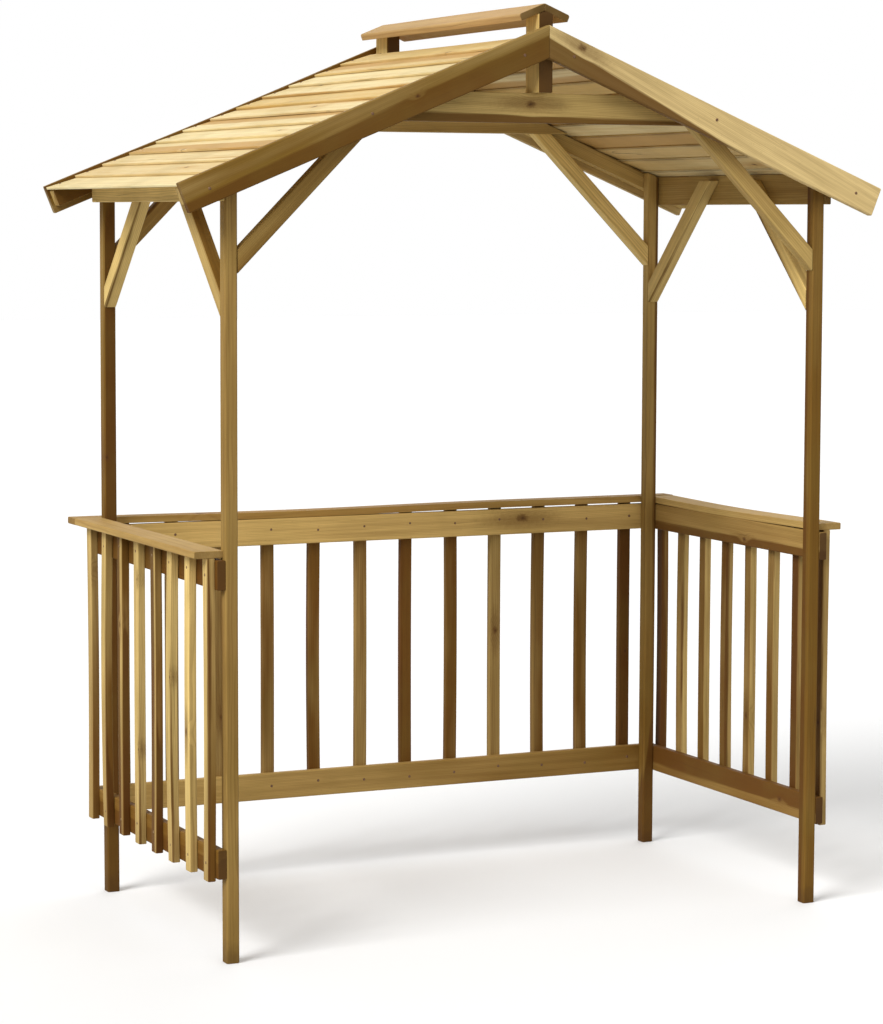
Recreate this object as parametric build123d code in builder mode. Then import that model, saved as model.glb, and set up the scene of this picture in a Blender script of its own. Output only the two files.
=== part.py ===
"""Timber garden gazebo: four posts, a lapped gable roof with a raised ridge cap,
knee braces, and slatted side and back panels that each carry a narrow shelf."""
import os
from math import cos, radians, sin, tan

from build123d import *

# Overall sizes, in millimetres: X across the front, Y to the back, Z up
overall_height = 2100.0
shelf_span = 1635.0
roof_depth = 930.0
roof_span = 1746.0
roof_pitch = 22.1

# Timber sections
post_size = 30.0
header_thickness = 18.0
header_height = 65.0
barge_thickness = 18.0
barge_height = 68.0
rafter_thickness = 34.0
rafter_height = 38.0
king_width = 34.0
king_depth = 68.0
collar_height = 66.0
brace_width = 36.0
cap_thickness = 16.0
cap_width = 68.0
shelf_thickness = 16.0
rail_thickness = 20.0
rail_height = 65.0
slat_width = 30.0
slat_thickness = 18.0

# Levels and set-backs: the roof hangs from the cap, the panels stand on the ground
cap_rise = 49.0
collar_drop = 214.0
brace_drop = 332.0
knee_drop = 308.0
knee_top_gap = 13.0
shelf_height = 908.0
bottom_rail_foot = 189.0
shelf_overhang = 67.5
shelf_front_setback = 14.0
rail_shelf_gap = 4.0
side_slat_drop = 6.0
cap_end_setback = 25.0
rafter_end_inset = 6.0
post_top_gap = 2.0
collar_end_gap = 1.5
brace_angle = 45.0

# Lapped roof boards: thick lower edge, thin upper edge
board_count = 12
board_lap = 12.0
vent_run = 40.0
board_butt = 6.0
board_thin = 3.0
board_lap_gap = 0.3
board_end_gap = 1.0
board_stand = 3.0
eave_inset = 2.0

# Slat rows
side_slat_count = 8
side_slat_front_margin = 28.0
side_slat_back_margin = 15.0
back_slat_count = 12
back_slat_margin = 32.5

# Eased corners
post_ease = 3.0
board_ease = 2.0
slat_ease = 1.5
cap_round = 5.0

# Derived positions
slope = radians(roof_pitch)
half_depth = roof_depth / 2
half_span = roof_span / 2
half_shelf = shelf_span / 2
barge_inner_y = half_depth - barge_thickness
post_outer_y = barge_inner_y - rafter_thickness
post_inner_y = post_outer_y - post_size
post_outer_x = half_shelf - shelf_overhang
post_inner_x = post_outer_x - post_size
ridge_height = overall_height - cap_rise
roof_run = half_span / cos(slope)
board_exposure = (roof_run - eave_inset - vent_run - board_lap) / board_count
board_width = board_exposure + board_lap
board_climb = (board_thin + (board_butt - board_thin) * board_lap / board_width + board_lap_gap) / board_exposure
board_rise = board_climb * board_width + board_butt
seat_depth = board_rise + board_stand
collar_bottom = ridge_height - collar_drop
brace_foot = collar_bottom - brace_drop
knee_top = ridge_height - post_outer_x * tan(slope) - seat_depth / cos(slope) - knee_top_gap
knee_foot = knee_top - knee_drop
cap_half_length = half_depth - cap_end_setback
shelf_bottom = shelf_height - shelf_thickness
top_rail_foot = shelf_bottom - rail_shelf_gap - rail_height
rail_outer_x = post_outer_x + rail_thickness
rail_outer_y = post_outer_y + rail_thickness
side_slat_pitch = (post_outer_y * 2 - side_slat_front_margin - side_slat_back_margin) / (side_slat_count - 1)
back_slat_pitch = (post_inner_x - back_slat_margin) * 2 / (back_slat_count - 1)
plumb_cut = brace_width / sin(radians(brace_angle))
brace_rise = 1 / tan(radians(brace_angle))
down_slope = Axis((0, 0, 0), (cos(slope), 0, -sin(slope)))
side_brace = Axis((0, 0, 0), (-sin(radians(brace_angle)), 0, cos(radians(brace_angle))))
knee_brace = Axis((0, 0, 0), (0, sin(radians(brace_angle)), cos(radians(brace_angle))))


def on_slope(run, depth):
    """Point of the right-hand slope, run from the ridge and depth below the top line, as X and Z."""
    return (run * cos(slope) - depth * sin(slope), ridge_height - run * sin(slope) - depth * cos(slope))


def under_slope(x, depth):
    """Point at distance x from the centre, at a depth square to the slope, as X and Z."""
    return (x, ridge_height - x * tan(slope) - depth / cos(slope))


def seat_x(level, gap):
    """Distance from the centre at which the rafters' top plane, less a gap, has the given level."""
    return (ridge_height - (seat_depth + gap) / cos(slope) - level) / tan(slope)


os.makedirs("parts", exist_ok=True)

# Corner posts, square, with their tops bevelled under the roof
with BuildPart() as front_right_post:
    with BuildSketch(Plane.XZ.offset(post_inner_y)):
        with BuildLine():
            Polyline(
                (post_inner_x, 0),
                (post_outer_x, 0),
                under_slope(post_outer_x, seat_depth + post_top_gap),
                under_slope(post_inner_x, seat_depth + post_top_gap),
                close=True,
            )
        make_face()
    extrude(amount=post_size)
    chamfer(front_right_post.edges().filter_by(Axis.Z), length=post_ease)

with BuildPart() as front_left_post:
    mirror(front_right_post.part, about=Plane.YZ)

with BuildPart() as back_right_post:
    mirror(front_right_post.part, about=Plane.XZ)

with BuildPart() as back_left_post:
    mirror(front_left_post.part, about=Plane.XZ)

# Side headers on the outer faces of the posts, top edge bevelled to carry the boards
with BuildPart() as right_header:
    header_outer_x = post_outer_x + header_thickness
    header_top = under_slope(header_outer_x, seat_depth)
    with BuildSketch(Plane.XZ):
        with BuildLine():
            Polyline(
                (post_outer_x, header_top[1] - header_height),
                (header_outer_x, header_top[1] - header_height),
                header_top,
                under_slope(post_outer_x, seat_depth),
                close=True,
            )
        make_face()
    extrude(amount=post_outer_y, both=True)
    chamfer(right_header.edges().filter_by(Axis.Y).group_by(Axis.Z)[0], length=board_ease)

with BuildPart() as left_header:
    mirror(right_header.part, about=Plane.YZ)

# Barge boards, plumb at the ridge and square at the eave
with BuildPart() as front_right_barge:
    with BuildSketch(Plane.XZ.offset(barge_inner_y)):
        with BuildLine():
            Polyline(
                on_slope(0, 0),
                on_slope(roof_run, 0),
                on_slope(roof_run, barge_height),
                under_slope(0, barge_height),
                close=True,
            )
        make_face()
    extrude(amount=barge_thickness)
    chamfer(front_right_barge.edges().filter_by(down_slope).group_by(Axis.Y)[0], length=board_ease)

with BuildPart() as front_left_barge:
    mirror(front_right_barge.part, about=Plane.YZ)

with BuildPart() as back_right_barge:
    mirror(front_right_barge.part, about=Plane.XZ)

with BuildPart() as back_left_barge:
    mirror(front_left_barge.part, about=Plane.XZ)

# Rafters behind the barge boards, butting the king posts
with BuildPart() as front_right_rafter:
    rafter_run = roof_run - rafter_end_inset
    rafter_depth = seat_depth + rafter_height
    with BuildSketch(Plane.XZ.offset(post_outer_y)):
        with BuildLine():
            Polyline(
                under_slope(king_width / 2, seat_depth),
                on_slope(rafter_run, seat_depth),
                on_slope(rafter_run, rafter_depth),
                under_slope(king_width / 2, rafter_depth),
                close=True,
            )
        make_face()
    extrude(amount=rafter_thickness)

with BuildPart() as front_left_rafter:
    mirror(front_right_rafter.part, about=Plane.YZ)

with BuildPart() as back_right_rafter:
    mirror(front_right_rafter.part, about=Plane.XZ)

with BuildPart() as back_left_rafter:
    mirror(front_left_rafter.part, about=Plane.XZ)

# Collar ties on the rafters' inner faces, ends cut to the slope
with BuildPart() as front_collar:
    collar_top = collar_bottom + collar_height
    with BuildSketch(Plane.XZ.offset(post_inner_y)):
        with BuildLine():
            Polyline(
                (-seat_x(collar_bottom, collar_end_gap), collar_bottom),
                (seat_x(collar_bottom, collar_end_gap), collar_bottom),
                (seat_x(collar_top, collar_end_gap), collar_top),
                (-seat_x(collar_top, collar_end_gap), collar_top),
                close=True,
            )
        make_face()
    extrude(amount=post_size)
    chamfer(front_collar.edges().filter_by(Axis.X).group_by(Axis.Z)[0], length=board_ease)

with BuildPart() as back_collar:
    mirror(front_collar.part, about=Plane.XZ)

# King posts from the collar ties to the ridge cap, top cut to the cap's two slopes
with BuildPart() as front_king_post:
    cap_under = overall_height - cap_thickness / cos(slope)
    king_shoulder = cap_under - king_width / 2 * tan(slope)
    with BuildSketch(Plane.XZ.offset(barge_inner_y - king_depth)):
        with BuildLine():
            Polyline(
                (-king_width / 2, collar_top),
                (king_width / 2, collar_top),
                (king_width / 2, king_shoulder),
                (0, cap_under),
                (-king_width / 2, king_shoulder),
                close=True,
            )
        make_face()
    extrude(amount=king_depth)
    chamfer(front_king_post.edges().filter_by(Axis.Z).group_by(Axis.Y)[-1], length=board_ease)

with BuildPart() as back_king_post:
    mirror(front_king_post.part, about=Plane.XZ)

# Ridge cap: two boards mitred on the centre line, outer edges rounded
with BuildPart() as right_cap_board:
    with BuildSketch(Plane.XZ):
        with BuildLine():
            Polyline(
                (0, cap_under),
                (
                    cap_width * cos(slope) - cap_thickness * sin(slope),
                    overall_height - cap_width * sin(slope) - cap_thickness * cos(slope),
                ),
                (cap_width * cos(slope), overall_height - cap_width * sin(slope)),
                (0, overall_height),
                close=True,
            )
        make_face()
    extrude(amount=cap_half_length, both=True)
    fillet(right_cap_board.edges().filter_by(Axis.Y).group_by(Axis.X)[-1], radius=cap_round)

with BuildPart() as left_cap_board:
    mirror(right_cap_board.part, about=Plane.YZ)

# Roof boards, lapped like weatherboard from the eave to the ridge vent
with BuildPart() as right_roof_boards:
    with BuildSketch(Plane.XZ):
        for course in range(board_count):
            butt_run = roof_run - eave_inset - course * board_exposure
            head_run = butt_run - board_width
            butt_lift = board_climb * board_width
            with BuildLine():
                Polyline(
                    on_slope(head_run, seat_depth),
                    on_slope(butt_run, seat_depth - butt_lift),
                    on_slope(butt_run, seat_depth - butt_lift - board_butt),
                    on_slope(head_run, seat_depth - board_thin),
                    close=True,
                )
            make_face()
    extrude(amount=barge_inner_y - board_end_gap, both=True)

with BuildPart() as left_roof_boards:
    mirror(right_roof_boards.part, about=Plane.YZ)

# Braces from the posts up to the collar ties, in the front and back frames
with BuildPart() as front_right_brace:
    foot_reach = (collar_bottom - brace_foot) / brace_rise
    head_reach = (collar_bottom - brace_foot - plumb_cut) / brace_rise
    with BuildSketch(Plane.XZ.offset(post_inner_y)):
        with BuildLine():
            Polyline(
                (post_inner_x, brace_foot),
                (post_inner_x, brace_foot + plumb_cut),
                (post_inner_x - head_reach, collar_bottom),
                (post_inner_x - foot_reach, collar_bottom),
                close=True,
            )
        make_face()
    extrude(amount=post_size)
    chamfer(front_right_brace.edges().filter_by(side_brace), length=board_ease)

with BuildPart() as front_left_brace:
    mirror(front_right_brace.part, about=Plane.YZ)

with BuildPart() as back_right_brace:
    mirror(front_right_brace.part, about=Plane.XZ)

with BuildPart() as back_left_brace:
    mirror(front_left_brace.part, about=Plane.XZ)

# Knee braces from the posts up the inner faces of the headers, in the side frames
with BuildPart() as right_front_knee:
    knee_reach = (knee_top - knee_foot) / brace_rise
    knee_head_reach = (knee_top - knee_foot - plumb_cut) / brace_rise
    with BuildSketch(Plane.YZ.offset(post_inner_x)):
        with BuildLine():
            Polyline(
                (-post_inner_y, knee_foot),
                (-post_inner_y, knee_foot + plumb_cut),
                (-post_inner_y + knee_head_reach, knee_top),
                (-post_inner_y + knee_reach, knee_top),
                close=True,
            )
        make_face()
    extrude(amount=post_size)
    chamfer(right_front_knee.edges().filter_by(knee_brace), length=board_ease)

with BuildPart() as left_front_knee:
    mirror(right_front_knee.part, about=Plane.YZ)

with BuildPart() as right_back_knee:
    mirror(right_front_knee.part, about=Plane.XZ)

with BuildPart() as left_back_knee:
    mirror(left_front_knee.part, about=Plane.XZ)

# Side shelves outside the posts, and the back shelf across their ends
with BuildPart() as right_shelf:
    with BuildSketch(Plane.XY.offset(shelf_bottom)):
        with BuildLine():
            Polyline(
                (post_outer_x, -post_outer_y + shelf_front_setback),
                (half_shelf, -post_outer_y + shelf_front_setback),
                (half_shelf, post_outer_y),
                (post_outer_x, post_outer_y),
                close=True,
            )
        make_face()
    extrude(amount=shelf_thickness)
    chamfer(right_shelf.edges().filter_by(Axis.Y).group_by(Axis.X)[-1], length=board_ease)

with BuildPart() as left_shelf:
    mirror(right_shelf.part, about=Plane.YZ)

with BuildPart() as back_shelf:
    with BuildSketch(Plane.XY.offset(shelf_bottom)):
        with BuildLine():
            Polyline(
                (-half_shelf, post_outer_y),
                (half_shelf, post_outer_y),
                (half_shelf, half_depth),
                (-half_shelf, half_depth),
                close=True,
            )
        make_face()
    extrude(amount=shelf_thickness)
    chamfer(back_shelf.edges().filter_by(Axis.X).group_by(Axis.Y)[-1], length=board_ease)

# Rails on the outer faces of the posts: the back pair runs past the side pair
with BuildPart() as right_top_rail:
    with BuildSketch(Plane.XZ):
        with BuildLine():
            Polyline(
                (post_outer_x, top_rail_foot),
                (rail_outer_x, top_rail_foot),
                (rail_outer_x, top_rail_foot + rail_height),
                (post_outer_x, top_rail_foot + rail_height),
                close=True,
            )
        make_face()
    extrude(amount=post_outer_y, both=True)
    chamfer(right_top_rail.edges().filter_by(Axis.Y), length=board_ease)

with BuildPart() as left_top_rail:
    mirror(right_top_rail.part, about=Plane.YZ)

with BuildPart() as right_bottom_rail:
    with BuildSketch(Plane.XZ):
        with BuildLine():
            Polyline(
                (post_outer_x, bottom_rail_foot),
                (rail_outer_x, bottom_rail_foot),
                (rail_outer_x, bottom_rail_foot + rail_height),
                (post_outer_x, bottom_rail_foot + rail_height),
                close=True,
            )
        make_face()
    extrude(amount=post_outer_y, both=True)
    chamfer(right_bottom_rail.edges().filter_by(Axis.Y), length=board_ease)

with BuildPart() as left_bottom_rail:
    mirror(right_bottom_rail.part, about=Plane.YZ)

with BuildPart() as back_top_rail:
    with BuildSketch(Plane.YZ):
        with BuildLine():
            Polyline(
                (post_outer_y, top_rail_foot),
                (rail_outer_y, top_rail_foot),
                (rail_outer_y, top_rail_foot + rail_height),
                (post_outer_y, top_rail_foot + rail_height),
                close=True,
            )
        make_face()
    extrude(amount=rail_outer_x, both=True)
    chamfer(back_top_rail.edges().filter_by(Axis.X), length=board_ease)

with BuildPart() as back_bottom_rail:
    with BuildSketch(Plane.YZ):
        with BuildLine():
            Polyline(
                (post_outer_y, bottom_rail_foot),
                (rail_outer_y, bottom_rail_foot),
                (rail_outer_y, bottom_rail_foot + rail_height),
                (post_outer_y, bottom_rail_foot + rail_height),
                close=True,
            )
        make_face()
    extrude(amount=rail_outer_x, both=True)
    chamfer(back_bottom_rail.edges().filter_by(Axis.X), length=board_ease)

# Slats on the outer faces of the rails, standing up to the undersides of the shelves
with BuildPart() as right_slats:
    side_slat_foot = bottom_rail_foot - side_slat_drop
    with BuildSketch(Plane.XY.offset(side_slat_foot)):
        for place in range(side_slat_count):
            slat_y = -post_outer_y + side_slat_front_margin + place * side_slat_pitch
            with Locations((rail_outer_x + slat_thickness / 2, slat_y)):
                Rectangle(slat_thickness, slat_width)
    extrude(amount=shelf_bottom - side_slat_foot)
    chamfer(right_slats.edges().filter_by(Axis.Z), length=slat_ease)

with BuildPart() as left_slats:
    mirror(right_slats.part, about=Plane.YZ)

with BuildPart() as back_slats:
    with BuildSketch(Plane.XY.offset(bottom_rail_foot)):
        with Locations((0, rail_outer_y + slat_thickness / 2)):
            with GridLocations(back_slat_pitch, slat_thickness, back_slat_count, 1):
                Rectangle(slat_width, slat_thickness)
    extrude(amount=shelf_bottom - bottom_rail_foot)
    chamfer(back_slats.edges().filter_by(Axis.Z), length=slat_ease)

# One file for each piece
pieces = {
    "front_left_post": front_left_post,
    "front_right_post": front_right_post,
    "back_left_post": back_left_post,
    "back_right_post": back_right_post,
    "left_header": left_header,
    "right_header": right_header,
    "front_left_barge": front_left_barge,
    "front_right_barge": front_right_barge,
    "back_left_barge": back_left_barge,
    "back_right_barge": back_right_barge,
    "front_left_rafter": front_left_rafter,
    "front_right_rafter": front_right_rafter,
    "back_left_rafter": back_left_rafter,
    "back_right_rafter": back_right_rafter,
    "front_collar": front_collar,
    "back_collar": back_collar,
    "front_king_post": front_king_post,
    "back_king_post": back_king_post,
    "left_cap_board": left_cap_board,
    "right_cap_board": right_cap_board,
    "left_roof_boards": left_roof_boards,
    "right_roof_boards": right_roof_boards,
    "front_left_brace": front_left_brace,
    "front_right_brace": front_right_brace,
    "back_left_brace": back_left_brace,
    "back_right_brace": back_right_brace,
    "left_front_knee": left_front_knee,
    "left_back_knee": left_back_knee,
    "right_front_knee": right_front_knee,
    "right_back_knee": right_back_knee,
    "left_shelf": left_shelf,
    "right_shelf": right_shelf,
    "back_shelf": back_shelf,
    "left_top_rail": left_top_rail,
    "right_top_rail": right_top_rail,
    "back_top_rail": back_top_rail,
    "left_bottom_rail": left_bottom_rail,
    "right_bottom_rail": right_bottom_rail,
    "back_bottom_rail": back_bottom_rail,
    "left_slats": left_slats,
    "right_slats": right_slats,
    "back_slats": back_slats,
}
for node, piece in pieces.items():
    piece.part.label = node
    export_step(piece.part, f"parts/{node}.step")
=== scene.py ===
"""Timber garden gazebo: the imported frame's boards are recut as grained timber and lit in a pale studio."""
from __future__ import annotations

import logging
import math
import zlib
from dataclasses import dataclass, field, replace
from enum import Enum

import bpy
import numpy as np
from mathutils import Matrix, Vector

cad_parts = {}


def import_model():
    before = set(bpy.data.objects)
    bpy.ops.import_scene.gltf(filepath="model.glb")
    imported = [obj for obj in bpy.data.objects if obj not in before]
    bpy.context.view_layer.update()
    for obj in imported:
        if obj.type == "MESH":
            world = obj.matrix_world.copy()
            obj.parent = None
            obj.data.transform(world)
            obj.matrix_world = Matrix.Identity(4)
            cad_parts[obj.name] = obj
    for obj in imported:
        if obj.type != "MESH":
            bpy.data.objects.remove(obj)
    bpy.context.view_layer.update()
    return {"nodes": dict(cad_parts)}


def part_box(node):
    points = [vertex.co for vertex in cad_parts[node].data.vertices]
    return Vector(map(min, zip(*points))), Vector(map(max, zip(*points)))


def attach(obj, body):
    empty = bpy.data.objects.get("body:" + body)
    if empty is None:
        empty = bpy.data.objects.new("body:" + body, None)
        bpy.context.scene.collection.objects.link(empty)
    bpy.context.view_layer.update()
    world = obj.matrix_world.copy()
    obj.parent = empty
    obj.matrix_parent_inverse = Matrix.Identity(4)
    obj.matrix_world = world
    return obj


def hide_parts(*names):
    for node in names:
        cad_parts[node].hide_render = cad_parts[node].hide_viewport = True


Array = np.ndarray
Socket = bpy.types.NodeSocket
NodeTree = bpy.types.NodeTree
Material = bpy.types.Material
Object = bpy.types.Object
Colour = tuple[int, int, int]
Pair = tuple[float, float]
Triple = tuple[float, float, float]
Solid = tuple[Array, Array]
Faces = tuple[Array, Array]
NailRow = tuple[Array, Triple]

LOG = logging.getLogger("gazebo")
# Slope of the roof, and both parts of a direction at 45 degrees.
PITCH = math.radians(22.1)
DIAGONAL = math.sqrt(0.5)
# Radius of the heartwood, in metres, at which the second part of the pick attribute is one.
HEART_REACH = 0.2
# Sign of x on either side.
HANDS = {"left": -1.0, "right": 1.0}


class Grain(Enum):
    """Directions in which the fibres of the boards run."""

    UP = (0.0, 0.0, 1.0)
    ACROSS = (1.0, 0.0, 0.0)
    DEEP = (0.0, 1.0, 0.0)
    RIGHT_SLOPE = (math.cos(PITCH), 0.0, -math.sin(PITCH))
    LEFT_SLOPE = (math.cos(PITCH), 0.0, math.sin(PITCH))
    RIGHT_BRACE = (-DIAGONAL, 0.0, DIAGONAL)
    LEFT_BRACE = (DIAGONAL, 0.0, DIAGONAL)
    FRONT_KNEE = (0.0, DIAGONAL, DIAGONAL)
    BACK_KNEE = (0.0, -DIAGONAL, DIAGONAL)


class Reading(Enum):
    """Axes along which the boards of one row are counted."""

    X = 0
    Y = 1


def linear(colour: Colour) -> tuple[float, float, float, float]:
    """Turns an sRGB colour of 0 to 255 into the linear colour that a shader socket takes.

    Args:
        colour: red, green and blue from 0 to 255.

    Returns:
        Linear red, green, blue and an alpha of one.
    """
    share = np.asarray(colour, float) / 255.0
    value = np.where(share <= 0.04045, share / 12.92, ((share + 0.055) / 1.055) ** 2.4)
    return (float(value[0]), float(value[1]), float(value[2]), 1.0)


def chances(name: str) -> np.random.Generator:
    """A source of chances, the same each time for the same name."""
    return np.random.default_rng(zlib.crc32(name.encode()))


def sign(value: float) -> float:
    """One for a value above zero, or else minus one."""
    return 1.0 if value > 0.0 else -1.0


def unit(rows: Array) -> Array:
    """Each row over its own length."""
    return rows / np.linalg.norm(rows, axis=-1, keepdims=True)


def near_top(heights: Array, reach: float) -> Array:
    """A mask that falls from one at the highest to zero at a share of the whole height below it."""
    return np.clip(1.0 - (heights.max() - heights) / np.ptp(heights) / reach, 0.0, 1.0)


def tube_faces(grid: Array) -> Faces:
    """Faces of closed rings of points: quads from each ring to the next, and a cap on the first and the last.

    Args:
        grid: numbers of the points, with the rings on the last axis but one and their points on the last.

    Returns:
        Corners of the faces, one face after another, and how many each face has.
    """
    beside = np.roll(grid, -1, axis=-1)
    quads = np.stack([grid[..., :-1, :], beside[..., :-1, :], beside[..., 1:, :], grid[..., 1:, :]], axis=-1)
    caps = np.stack([grid[..., 0, ::-1], grid[..., -1, :]])
    sizes = np.repeat([4, grid.shape[-1]], [quads.size // 4, caps.size // grid.shape[-1]])
    return np.concatenate([quads.ravel(), caps.ravel()]), sizes


def stand(name: str, points: Array, faces: Faces, material: Material) -> Object:
    """Makes a mesh object at the origin, smooth on its four-cornered faces, and puts it into the scene.

    Args:
        name: name of the object.
        points: places of its vertices.
        faces: corners of the faces, one face after another, and how many each face has.
        material: its finish.

    Returns:
        The object.
    """
    corners, sizes = faces
    mesh = bpy.data.meshes.new(name)
    mesh.from_pydata(points.tolist(), [], np.split(corners, np.cumsum(sizes)[:-1]))
    mesh.polygons.foreach_set("use_smooth", sizes == 4)
    mesh.materials.append(material)
    mesh.update()
    made = bpy.data.objects.new(name, mesh)
    bpy.context.scene.collection.objects.link(made)
    return made


class Graph:
    """A shader node tree with short calls that add nodes and join them."""

    def __init__(self, tree: NodeTree) -> None:
        """Keeps the tree that the nodes go into."""
        self.tree = tree

    @classmethod
    def blank(cls, owner: Material | bpy.types.World) -> Graph:
        """Gives a new material or world an empty node tree.

        Args:
            owner: the material or world.

        Returns:
            The graph of its tree.
        """
        owner.use_nodes = True
        owner.node_tree.nodes.clear()
        return cls(owner.node_tree)

    def feed(self, socket: Socket, value: object) -> None:
        """Joins an output to a socket, or sets the socket's own value.

        Args:
            socket: the input to feed.
            value: an output socket, a number or a tuple.
        """
        if isinstance(value, Socket):
            self.tree.links.new(value, socket)
        else:
            socket.default_value = value

    def node(
        self, kind: str, settings: dict[str, object] | None = None, values: tuple = (), **inputs: object
    ) -> bpy.types.Node:
        """Adds one node, sets its properties and sets or joins its inputs.

        Args:
            kind: the node's type name.
            settings: properties of the node.
            values: values or output sockets for the first inputs, in order.
            inputs: socket name, with underscores for spaces, to a value or to an output socket.

        Returns:
            The new node.
        """
        made = self.tree.nodes.new(kind)
        for name, value in (settings or {}).items():
            setattr(made, name, value)
        for socket, value in zip(made.inputs, values):
            self.feed(socket, value)
        for name, value in inputs.items():
            self.feed(made.inputs[name.replace("_", " ")], value)
        return made

    def math(self, operation: str, *values: object) -> Socket:
        """The result of a math node on one to three numbers or sockets."""
        return self.node("ShaderNodeMath", {"operation": operation}, values).outputs[0]

    def vector(self, operation: str, *values: object) -> bpy.types.Node:
        """Adds a vector math node on one or two vectors or sockets."""
        return self.node("ShaderNodeVectorMath", {"operation": operation}, values)

    def stretch(self, vector: object, scale: Triple) -> Socket:
        """A vector times three factors."""
        return self.vector("MULTIPLY", vector, scale).outputs[0]

    def step(self, value: object, low: float, high: float, start: float = 0.0, stop: float = 1.0) -> Socket:
        """A smooth step from start to stop as the value goes from low to high."""
        ends = (value, low, high, start, stop)
        return self.node("ShaderNodeMapRange", {"interpolation_type": "SMOOTHSTEP"}, ends).outputs[0]

    def fall(self, value: object, low: float, high: float) -> Socket:
        """A smooth step from one down to zero as the value goes from low to high."""
        return self.step(value, low, high, 1.0, 0.0)

    def swing(self, noise: Socket, width: float) -> Socket:
        """A noise of 0 to 1 made to swing over a width about zero."""
        return self.math("MULTIPLY_ADD", noise, width, -width / 2.0)

    def noise(self, vector: object, scale: float, detail: float = 2.0, roughness: float = 0.5) -> Socket:
        """A noise of 0 to 1 with so many features to one unit."""
        made = self.node("ShaderNodeTexNoise", Vector=vector, Scale=scale, Detail=detail, Roughness=roughness)
        return made.outputs["Fac"]

    def drawn(self, vector: object, scale: Triple, detail: float, roughness: float = 0.5) -> Socket:
        """A noise with so many features to one unit along, across and into the board."""
        return self.noise(self.stretch(vector, scale), 1.0, detail, roughness)

    def attribute(self, name: str, output: str = "Vector") -> Socket:
        """A point attribute of the mesh."""
        return self.node("ShaderNodeAttribute", {"attribute_name": name}).outputs[output]

    def group(self, tree: NodeTree, **inputs: object) -> bpy.types.NodeOutputs:
        """Places a node group, feeds its inputs and gives its outputs."""
        return self.node("ShaderNodeGroup", {"node_tree": tree}, **inputs).outputs

    def mix(self, share: object, first: object, second: object, blend: str = "MIX") -> Socket:
        """Adds a colour mix.

        Args:
            share: how much of the second colour.
            first: colour or output socket.
            second: colour or output socket.
            blend: blend type.

        Returns:
            The mixed colour.
        """
        made = self.node("ShaderNodeMix", {"data_type": "RGBA", "blend_type": blend, "clamp_factor": True})
        for slot, value in zip((0, 6, 7), (share, first, second)):
            self.feed(made.inputs[slot], value)
        return made.outputs[2]

    def coats(self, base: Socket, *coats: tuple[Socket, float, Colour]) -> Socket:
        """Lays colours over a base, one after another.

        Args:
            base: colour underneath.
            coats: mask, depth where the mask is one, and sRGB colour of each coat.

        Returns:
            The colour on top.
        """
        for mask, depth, colour in coats:
            base = self.mix(self.math("MULTIPLY", mask, depth), base, linear(colour))
        return base

    def seen(self) -> Socket:
        """Adds a mask of what the camera sees by itself, in reflections or through glass.

        Returns:
            One for such a ray, and zero for the rays that light the scene.
        """
        path = self.node("ShaderNodeLightPath").outputs
        seen = self.math("ADD", path["Is Camera Ray"], path["Is Glossy Ray"])
        return self.math("MINIMUM", self.math("ADD", seen, path["Is Transmission Ray"]), 1.0)


class Effect:
    """A shader node group with named inputs and outputs, built once."""

    def __init__(
        self, name: str, vectors: tuple[str, ...], values: dict[str, float], outputs: tuple[str, ...]
    ) -> None:
        """Makes the group's tree and its sockets.

        Args:
            name: name of the group.
            vectors: names of the inputs that are vectors.
            values: names and defaults of the inputs that are numbers.
            outputs: names of the outputs, which are numbers.
        """
        self.tree = bpy.data.node_groups.new(name, "ShaderNodeTree")
        face = self.tree.interface
        for label in vectors:
            face.new_socket(label, in_out="INPUT", socket_type="NodeSocketVector")
        for label, value in values.items():
            face.new_socket(label, in_out="INPUT", socket_type="NodeSocketFloat").default_value = value
        for label in outputs:
            face.new_socket(label, in_out="OUTPUT", socket_type="NodeSocketFloat")
        self.graph = Graph(self.tree)
        self.source = self.tree.nodes.new("NodeGroupInput").outputs
        self.result = self.tree.nodes.new("NodeGroupOutput").inputs

    def give(self, **results: Socket) -> NodeTree:
        """Joins the results to the group's outputs.

        Args:
            results: output name to the socket that feeds it.

        Returns:
            The finished tree.
        """
        for name, value in results.items():
            self.graph.feed(self.result[name], value)
        return self.tree


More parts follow.
